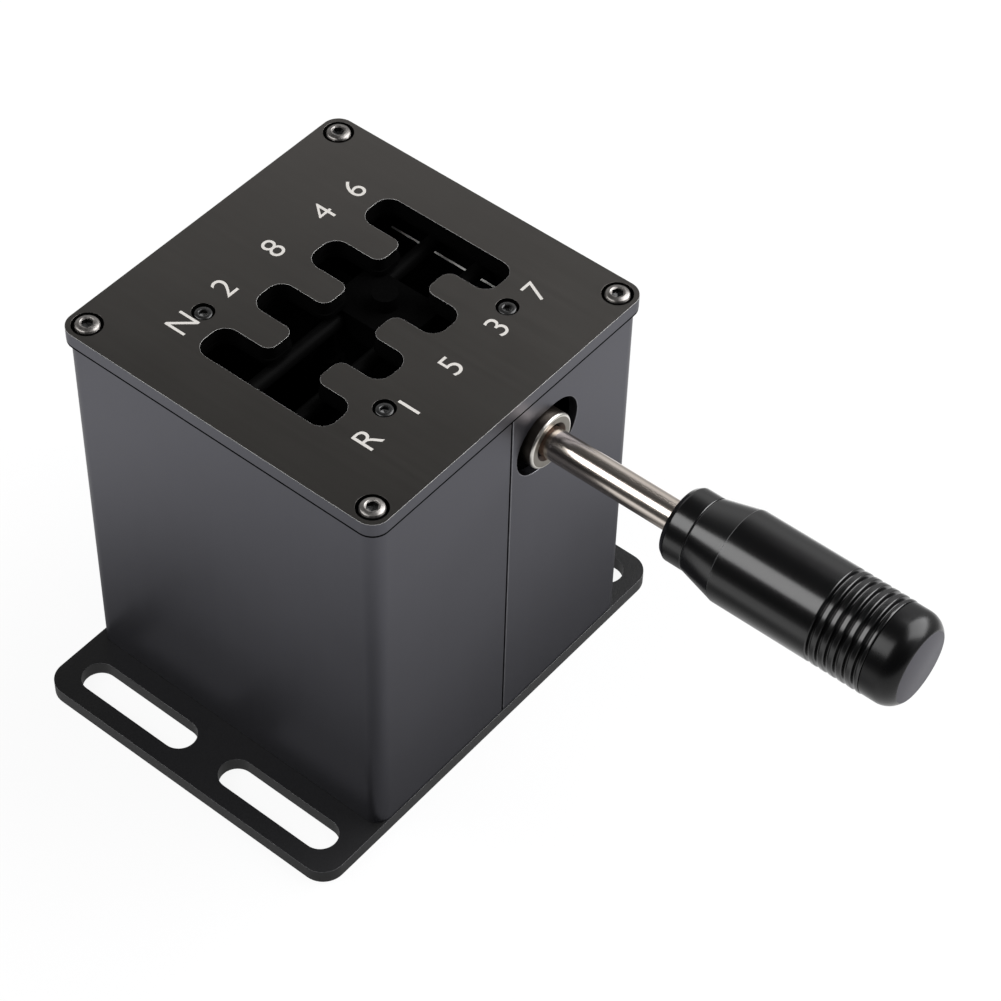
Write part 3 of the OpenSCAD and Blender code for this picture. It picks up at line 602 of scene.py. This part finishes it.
# Flanged bush
# The bush that guides the lever, pressed on the swivel's nose and standing out of the window.
# It is nickel plated over bronze. Its rounded rim keeps the nickel's bright colour; the front face is a
# darker copy, painted shade, and the bore and the side inside the window are darker and browner, bronze tone
# and painted shade.
axis_y, axis_z = 0.0146, 0.1195


def on_lever(aside, above, along):
    """A point beside, above and along the lever's axis, as a point of the scene."""
    return (along, axis_y + aside, axis_z + above)


def rounded(outline, steps=5):
    """Stations of a profile whose corners, (radius, along, rounding), are rounded by arcs."""
    stations = []
    for k, (radius, along, rounding) in enumerate(outline):
        here = Vector((radius, along))
        if not rounding or k in (0, len(outline) - 1):
            stations.append((radius, along))
            continue
        before = (Vector(outline[k - 1][:2]) - here).normalized()
        after = (Vector(outline[k + 1][:2]) - here).normalized()
        half = before.angle(after) / 2
        nearly_folded, nearly_straight = half < 0.02, abs(half - math.pi / 2) < 0.01
        if nearly_folded or nearly_straight:
            stations.append((radius, along))
            continue
        reach = rounding / math.tan(half)
        middle = here + (before + after).normalized() * rounding / math.sin(half)
        start, end = here + before * reach - middle, here + after * reach - middle
        sweep = start.angle_signed(end)
        for n in range(steps + 1):
            cosine, sine = math.cos(-sweep * n / steps), math.sin(-sweep * n / steps)
            stations.append((middle.x + start.x * cosine - start.y * sine,
                             middle.y + start.x * sine + start.y * cosine))
    return stations


# Only the rim has the nickel's own bright colour; the side, bore and face finishes are darker copies:
# painted shade.
coat = Finish("nickel_over_bronze", metal=1.0)
patch = coat.noise(140, 5)
fine = coat.noise(1500, 2)
side_bronze_shade = coat.close(patch, (0.03, 0.024, 0.018), (0.16, 0.14, 0.12), 0.24 + patch * 0.22, fine, 0.00001)
coat = Finish("nickel_rim", metal=1.0)
patch = coat.noise(200, 4)
nickel = coat.close(patch, (0.42, 0.40, 0.36), (0.74, 0.72, 0.68), 0.24 + patch * 0.14)
coat = Finish("bush_bore", metal=1.0)
patch = coat.noise(300, 4)
bore_brown_shade = coat.close(patch, (0.036, 0.0238, 0.0192), (0.126, 0.0935, 0.0768), 0.3 + patch * 0.16)
coat = Finish("bush_face", metal=1.0)
patch = coat.noise(260, 5)
face_nickel_shade = coat.close(patch, (0.0935, 0.0837, 0.0728), (0.242, 0.2268, 0.1976), 0.3 + patch * 0.2)
low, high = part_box("flanged_bush")
bush_x0, bush_x1, bush_r = low.x, high.x, (high.z - low.z) / 2
bore_r, mouth_r, mouth_deep, rim_round = 0.0052, 0.0064, 0.0013, 0.0008
bush = revolve(rounded([(bore_r, bush_x0, 0), (bush_r, bush_x0, 0.0003), (bush_r, bush_x1, rim_round),
                        (mouth_r, bush_x1, 0.0003), (bore_r + 0.0001, bush_x1 - mouth_deep, 0.0003),
                        (bore_r, bush_x0, 0)]), on_lever, 96, "lever_bush", side_bronze_shade)
for finish in (nickel, bore_brown_shade, face_nickel_shade):
    bush.materials.append(finish)
for face in bush.polygons:
    reach = math.hypot(face.center.y - axis_y, face.center.z - axis_z)
    if reach > bush_r - rim_round - 0.00005 and bush_x1 - rim_round < face.center.x < bush_x1 - 0.00001:
        face.material_index = 1
    elif reach < mouth_r:
        face.material_index = 2
    elif face.center.x > bush_x1 - 0.0001:
        face.material_index = 3
bush = put("lever_bush", bush)
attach(bush, "swivel")
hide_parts("flanged_bush")

# Lever shaft
# A ground steel rod 9.8 mm thick that slides in the swivel and carries the knob on its thread.
# It is polished lengthwise, so the light lies on it in long streaks.
coat = Finish("polished_steel", metal=1.0)
streak = coat.noise(900, 3, (0.02, 1, 1))
ring = coat.noise(2200, 2, (1, 0.02, 0.02))
polished = coat.close(streak, (0.472, 0.4107, 0.357), (0.8024, 0.7326, 0.672),
                      0.13 + streak * 0.12, ring, 0.000004)
low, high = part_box("shaft")
shaft_r = (high.z - low.z) / 2
thread_r = shaft_r - 0.0009
knob_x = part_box("knob_collar")[0].x
shoulder_x = knob_x + 0.004
shaft = revolve(rounded([(0, low.x, 0), (shaft_r, low.x, 0.0006), (shaft_r, shoulder_x, 0.0004),
                         (thread_r, shoulder_x, 0), (thread_r, high.x, 0.0004), (0, high.x, 0)]),
                on_lever, 72, "lever_shaft", polished)
shaft = put("lever_shaft", shaft)
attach(shaft, "lever")
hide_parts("shaft")

# Knob collar
# A short collar that locks the knob on the shaft's thread. Like the whole knob, it is turned
# from aluminium, polished and anodised gloss black.
coat = Finish("gloss_black_anodising", gloss=0.58)
lathe = coat.noise(2600, 2, (1, 0.01, 0.01))
cloud = coat.noise(45, 4)
speck = coat.noise(700, 4)
knob_black = coat.close(speck, (0.001, 0.001, 0.0011), (0.0025, 0.0025, 0.0027),
                        0.155 + cloud * 0.05 + lathe * 0.03)
collar_low, collar_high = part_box("knob_collar")
collar_end = collar_high.x
collar_r = (collar_high.z - collar_low.z) / 2
collar = revolve(rounded([(shaft_r, knob_x + 0.002, 0), (shaft_r, knob_x, 0),
                          (collar_r - 0.0012, knob_x, 0.0008), (collar_r, knob_x + 0.0018, 0.0014),
                          (collar_r, knob_x + 0.003, 0),
                          (collar_r, collar_end - 0.0006, 0), (collar_r, collar_end, 0.0004),
                          (shaft_r, collar_end, 0), (shaft_r, knob_x + 0.002, 0)], 8),
                 on_lever, 128, "knob_collar_turned", knob_black)
collar = put("knob_collar_turned", collar)
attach(collar, "lever")
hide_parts("knob_collar")

# Knob grip
# The hand's part of the knob: a cone that widens from the collar and a straight grip, with six
# rounded grooves turned in near its end. Two fine edges are worn to the bare metal.
coat = Finish("worn_knob_edge", metal=0.9)
rub = coat.noise(400, 4)
knob_edge = coat.close(rub, (0.06, 0.06, 0.062), (0.22, 0.22, 0.22), 0.34 + rub * 0.1)


def grooved(blank, name, sizes, finish):
    """Rounded grooves turned into a blank at an even pitch, by Geometry Nodes, as a plain mesh."""
    inputs = [("Blank", "Geometry")] + [(label, "Float") for label in sizes] + [("Finish", "Material")]
    group, work, take = new_group("turned_grooves", inputs, "Grooved")
    along, across, height = work.axes(work.make("GeometryNodeInputPosition"))
    across, height = across - take["Axis Y"], height - take["Axis Z"]
    radius = (across * across + height * height) ** 0.5
    nearest = work.maths("ROUND", (along - take["First"]) / take["Pitch"])
    nearest = work.maths("MINIMUM", work.maths("MAXIMUM", nearest, 0.0), take["Count"] - 1)
    off = work.maths("ABSOLUTE", along - take["First"] - nearest * take["Pitch"]) / (take["Width"] * 0.5)
    cut = take["Depth"] * (0.5 + 0.5 * work.maths("COSINE", work.maths("MINIMUM", off, 1.0) * math.pi))
    outside = work.maths("GREATER_THAN", radius, take["Inside"])
    inward = 0 - cut * outside / work.maths("MAXIMUM", radius, 0.001)
    shift = work.make("ShaderNodeCombineXYZ", {}, {1: across * inward, 2: height * inward})
    moved = work.make("GeometryNodeSetPosition", {}, {"Geometry": take["Blank"], "Offset": shift})
    solid = work.make("GeometryNodeRealizeInstances", {}, {0: moved})
    painted = work.make("GeometryNodeSetMaterial", {}, {"Geometry": solid, "Material": take["Finish"]})
    work.make("NodeGroupOutput", {}, {0: painted})
    return grow(put(name, blank), group, {**sizes, "Finish": finish})


grip_low, grip_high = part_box("knob_grip")
grip_x0, grip_x1, grip_r = grip_low.x, grip_high.x, (grip_high.z - grip_low.z) / 2
neck_r, cone_start, cone_x = collar_r + 0.0001, grip_x0 + 0.0004, grip_x0 + 0.0116
groove_count, groove_pitch, groove_deep, groove_wide, station_gap = 6, 0.003, 0.00115, 0.0018, 0.00012
first_groove = grip_x1 - 0.001 - (groove_count - 0.5) * groove_pitch + 0.00066
band_start = first_groove - 0.0015
band_stations = int((grip_x1 - first_groove + 0.0010) / station_gap)
cone_slope = (grip_r - collar_r - 0.00022) / (cone_x - grip_x0 - 0.0005)
profile = [(thread_r, grip_x0, 0), (collar_r - 0.0003, grip_x0, 0.00015), (neck_r, cone_start, 0.0002)]
profile += [(neck_r + cone_slope * (x - cone_start), x, 0) for x in (grip_x0 + 0.0009, cone_x - 0.0006)]
profile += [(grip_r - 0.00012, cone_x - 0.0001, 0.00002), (grip_r - 0.00004, cone_x + 0.0001, 0.00002),
            (grip_r, cone_x + 0.0008, 0.0002), (grip_r, cone_x + 0.0016, 0)]
profile += [(grip_r, band_start + k * station_gap, 0) for k in range(band_stations)]
profile += [(grip_r, grip_x1, 0.0003), (thread_r, grip_x1, 0), (thread_r, grip_x0, 0)]
grip = revolve(rounded(profile, 4), on_lever, 128, "grip_blank", knob_black)
band = {"First": first_groove, "Pitch": groove_pitch, "Count": float(groove_count), "Depth": groove_deep,
        "Width": groove_wide, "Inside": 0.013, "Axis Y": axis_y, "Axis Z": axis_z}
grip = grooved(grip, "knob_grip_turned", band, knob_black)
grip.data.materials.append(knob_edge)
for face in grip.data.polygons:
    at_cone_end = abs(face.center.x - cone_x) < 0.0002
    at_neck = grip_x0 + 0.00001 < face.center.x < grip_x0 + 0.00022
    if at_cone_end or at_neck:
        face.material_index = 1
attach(grip, "lever")
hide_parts("knob_grip")

# Knob cap
# The rounded end piece, screwed into the grip. Its dome ends in a flat disc that was faced on
# the lathe after the anodising, so it shows a lighter grey.
coat = Finish("cap_black_anodising", gloss=0.26)
cloud = coat.noise(45, 4)
cap_black = coat.close(cloud, (0.001, 0.001, 0.0011), (0.002, 0.002, 0.0022), 0.24 + cloud * 0.06)
coat = Finish("faced_end", metal=0.9)
lathe = coat.noise(1800, 3)
faced = coat.close(lathe, (0.098, 0.096, 0.108), (0.114, 0.112, 0.125), 0.6 + lathe * 0.06)
end_x, cap_x, cap_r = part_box("knob_cap")[1].x, grip_x1 + 0.0001, grip_r - 0.0002
curl, last_angle, dome_steps = 0.0068, math.radians(58), 14
dome = []
for k in range(dome_steps + 1):
    angle = last_angle * k / dome_steps
    fall, run = 1 - math.cos(angle), math.sin(last_angle) - math.sin(angle)
    dome.append((cap_r - curl * fall, end_x - curl * run, 0))
cap_shape = revolve(rounded([(0, cap_x, 0), (cap_r, cap_x, 0.0003)] + dome + [(0, end_x, 0)], 8),
                    on_lever, 128, "knob_cap_turned", cap_black)
cap_shape.materials.append(faced)
for face in cap_shape.polygons:
    if face.center.x > end_x - 0.000005:
        face.material_index = 1
cap_piece = put("knob_cap_turned", cap_shape)
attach(cap_piece, "lever")
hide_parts("knob_cap")

# Mechanism inside the box
# The shelf on its posts, and on it the guide rods, rocker, carriage and selector under the gate.
# They are steel, anodised plate and moulded blocks, painted near black without sheen: painted shade for the
# dark inside of the box.
# Each of these four finishes is near black with no sheen: painted shade inside the box.
coat = Finish("blackened_zinc_steel", metal=0.2, gloss=0.0)
spangle = coat.noise(260, 4)
zinc = coat.close(spangle, (0.0016, 0.0016, 0.0018), (0.005, 0.005, 0.0055), 0.42 + spangle * 0.2)
dress(zinc, "shelf_posts", "drive_bar", "swivel_arm", "rocker", "usb_socket")
coat = Finish("ground_rod_steel", metal=0.3, gloss=0.0)
streak = coat.noise(1200, 3, (1, 0.02, 0.02))
rod_steel = coat.close(streak, (0.0015, 0.0015, 0.0015), (0.004, 0.004, 0.004), 0.4 + streak * 0.12)
dress(rod_steel, "guide_rod_near", "guide_rod_far", "cross_rod_front", "cross_rod_rear",
      "rocker_stud", "rocker_post", "drive_pin", "swivel")
coat = Finish("anodised_black_plate", gloss=0.0)
cloud = coat.noise(60, 4)
plate_grey = coat.close(cloud, (0.001, 0.001, 0.0011), (0.0025, 0.0025, 0.0027), 0.5 + cloud * 0.12)
dress(plate_grey, "shelf", "carriage_near", "carriage_far")
coat = Finish("moulded_black", gloss=0.0)
grain = coat.noise(1600, 3)
moulded = coat.close(grain, (0.0008, 0.0008, 0.0008), (0.002, 0.002, 0.002),
                     0.6 + grain * 0.15, grain, 0.00003)
dress(moulded, "rod_blocks_near", "rod_blocks_far", "sensor_near", "sensor_far", "finger_block")
coat = Finish("green_solder_mask", gloss=0.5)
cloud = coat.noise(300, 4)
green = coat.close(cloud, (0.01, 0.06, 0.035), (0.015, 0.10, 0.055), 0.28 + cloud * 0.15)
dress(green, "circuit_board")
dress(black_steel, "selector_finger")

# Sensor flag
# A thin strip held in the carriage's far end piece, which shows through the far lane.
# It is cut from black anodised sheet, and its top face is painted light: a painted highlight along the far
# lane.
flag_centre, flag_size = (-0.007, 0.0479, 0.12345), (0.0406, 0.0008, 0.0049)
# The top face is painted light: a painted highlight.
coat = Finish("flag_cut_edge", gloss=0.3)
rub = coat.noise(300, 4)
flag_top_highlight = coat.close(rub, (0.6, 0.6, 0.58), (0.86, 0.85, 0.82), 0.4 + rub * 0.12)
shape = bmesh.new()
flag_place = Matrix.Translation(flag_centre) @ Matrix.Diagonal((*flag_size, 1))
bmesh.ops.create_cube(shape, size=1.0, matrix=flag_place)
for face in shape.faces:
    face.material_index = 1 if face.normal.z > 0.9 else 0
flag_mesh = bpy.data.meshes.new("sensor_flag")
shape.to_mesh(flag_mesh)
shape.free()
for finish in (plate_grey, flag_top_highlight):
    flag_mesh.materials.append(finish)
flag = put("sensor_flag", flag_mesh)
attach(flag, "carriage")
